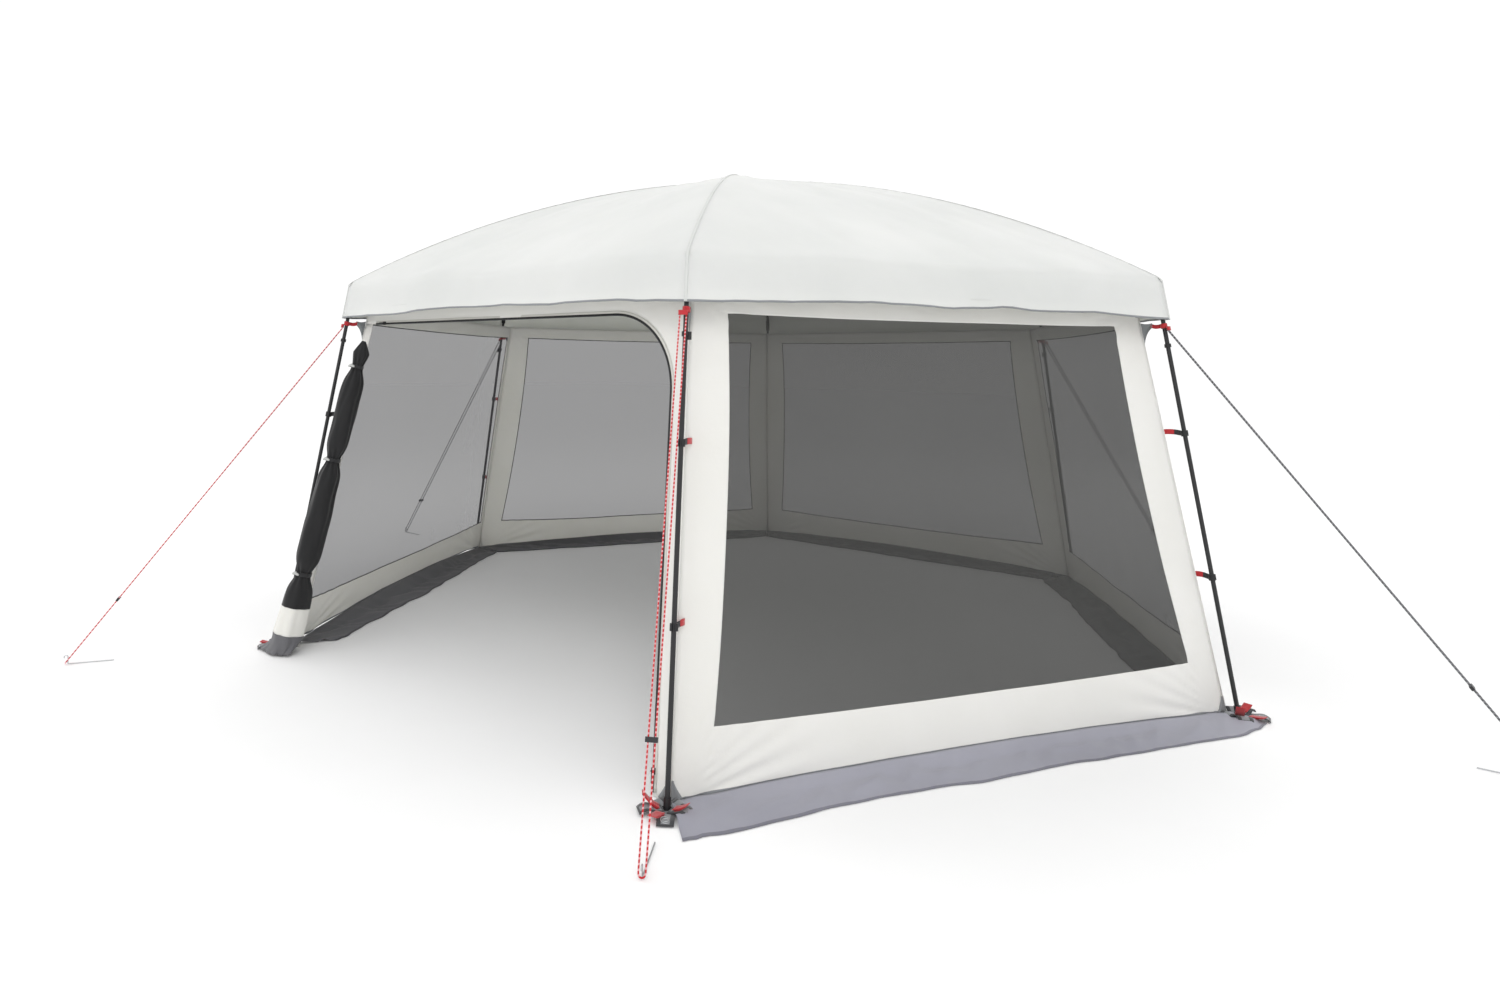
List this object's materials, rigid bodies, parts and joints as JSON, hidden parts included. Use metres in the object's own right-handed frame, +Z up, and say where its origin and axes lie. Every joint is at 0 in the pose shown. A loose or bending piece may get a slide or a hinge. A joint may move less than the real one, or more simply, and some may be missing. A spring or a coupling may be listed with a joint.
{
  "type": "screen house",
  "caption": "Hexagonal screen house with an arched fabric roof, splayed steel legs, insect mesh windows, a zipped door rolled open and roped corners.",
  "frame": {"origin": "on the ground at the middle of the footprint, below the crown hub", "axes": "+Z up, the door wall faces -Y, and two of the legs stand on the X axis"},
  "size_m": [6.272, 5.4322, 2.288],
  "materials": {
    "black_steel_tube": "powder coated, satin",
    "plain_steel": "zinc plated wire and tube",
    "fibreglass_rod": "pultruded glass fibre, smooth",
    "black_plastic": "moulded, fine grain",
    "runner_plastic": "moulded, smooth",
    "zip_tape": "woven tape with a nylon coil",
    "zip_metal": "enamelled die casting",
    "roof_polyester": "coated polyester, plain weave",
    "wall_polyester": "coated polyester, plain weave",
    "insect_mesh": "fine knitted insect mesh",
    "skirt_polyethylene": "coated woven polyethylene",
    "red_webbing": "flat woven webbing",
    "dark_webbing": "coated polyester patch",
    "grey_webbing": "flat woven webbing",
    "black_webbing": "narrow woven tape",
    "guy_cord": "braided cord, red and white"
  },
  "bodies": {
    "house": {"clip_straps": "red_webbing", "corner_elbows": "black_plastic", "corner_gussets": "dark_webbing", "crown_hub": "black_plastic", "door_roll_band": "wall_polyester", "door_roll_mesh": "insect_mesh", "door_roll_skirt": "skirt_polyethylene", "door_zip": "zip_tape", "eave_band": "roof_polyester", "eave_hooks": "black_plastic", "eave_straps": "red_webbing", "foot_caps": "black_plastic", "foot_loops": "red_webbing", "foot_tabs": "grey_webbing", "ground_skirts": "skirt_polyethylene", "guy_line_back_left": "guy_cord", "guy_line_back_right": "guy_cord", "guy_line_front_left": "guy_cord", "guy_line_front_right": "guy_cord", "guy_line_left": "guy_cord", "guy_line_right": "guy_cord", "guy_pegs": "plain_steel", "leg_ferrules": "plain_steel", "leg_lower_back_left": "black_steel_tube", "leg_lower_back_right": "black_steel_tube", "leg_lower_front_left": "black_steel_tube", "leg_lower_front_right": "black_steel_tube", "leg_lower_left": "black_steel_tube", "leg_lower_right": "black_steel_tube", "leg_upper_back_left": "black_steel_tube", "leg_upper_back_right": "black_steel_tube", "leg_upper_front_left": "black_steel_tube", "leg_upper_front_right": "black_steel_tube", "leg_upper_left": "black_steel_tube", "leg_upper_right": "black_steel_tube", "mesh_pane_back": "insect_mesh", "mesh_pane_left_back": "insect_mesh", "mesh_pane_left_front": "insect_mesh", "mesh_pane_right_back": "insect_mesh", "mesh_pane_right_front": "insect_mesh", "pole_clips": "black_plastic", "roll_ties": "black_webbing", "roof_canopy": "roof_polyester", "roof_poles": "fibreglass_rod", "wall_border_back": "wall_polyester", "wall_border_front": "wall_polyester", "wall_border_left_back": "wall_polyester", "wall_border_left_front": "wall_polyester", "wall_border_right_back": "wall_polyester", "wall_border_right_front": "wall_polyester"},
    "side_slider": {"zip_slider_side": "zip_metal"},
    "side_pull": {"zip_pull_side": "zip_metal"},
    "top_slider": {"zip_slider_top": "zip_metal"},
    "top_pull": {"zip_pull_top": "zip_metal"},
    "runner_right": {"line_runner_right": "runner_plastic"},
    "runner_back_right": {"line_runner_back_right": "runner_plastic"},
    "runner_back_left": {"line_runner_back_left": "runner_plastic"},
    "runner_left": {"line_runner_left": "runner_plastic"},
    "runner_front_left": {"line_runner_front_left": "runner_plastic"},
    "runner_front_right": {"line_runner_front_right": "runner_plastic"}
  },
  "joints": [
    {"name": "side_slider_travel", "type": "slide", "parent": "house", "child": "side_slider", "axis": [-0.1009, 0.1748, 0.9794], "range_m": [0, 1.1]},
    {"name": "side_pull_swing", "type": "hinge", "parent": "side_slider", "child": "side_pull", "pos_m": [1.05193, -1.9408, 0.07265], "axis": [-0.9949, -0.0177, -0.0994], "range_deg": [0, 165]},
    {"name": "top_slider_travel", "type": "slide", "parent": "house", "child": "top_slider", "axis": [1, 0, 0], "range_m": [-0.04, 1.4]},
    {"name": "top_pull_swing", "type": "hinge", "parent": "top_slider", "child": "top_pull", "pos_m": [-0.808, -1.69122, 1.47085], "axis": [0, 0.1757, 0.9844], "range_deg": [0, 165]},
    {"name": "runner_slide_right", "type": "slide", "parent": "house", "child": "runner_right", "axis": [-0.601, -0.005, 0.7993], "range_m": [-0.15, 0.3]},
    {"name": "runner_slide_back_right", "type": "slide", "parent": "house", "child": "runner_back_right", "axis": [-0.2962, -0.5229, 0.7993], "range_m": [-0.15, 0.3]},
    {"name": "runner_slide_back_left", "type": "slide", "parent": "house", "child": "runner_back_left", "axis": [0.3048, -0.518, 0.7993], "range_m": [-0.15, 0.3]},
    {"name": "runner_slide_left", "type": "slide", "parent": "house", "child": "runner_left", "axis": [0.601, 0.005, 0.7993], "range_m": [-0.15, 0.3]},
    {"name": "runner_slide_front_left", "type": "slide", "parent": "house", "child": "runner_front_left", "axis": [0.2962, 0.5229, 0.7993], "range_m": [-0.15, 0.3]},
    {"name": "runner_slide_front_right", "type": "slide", "parent": "house", "child": "runner_front_right", "axis": [-0.1988, 0.3329, 0.9218], "range_m": [-0.15, 0.3]}
  ]
}
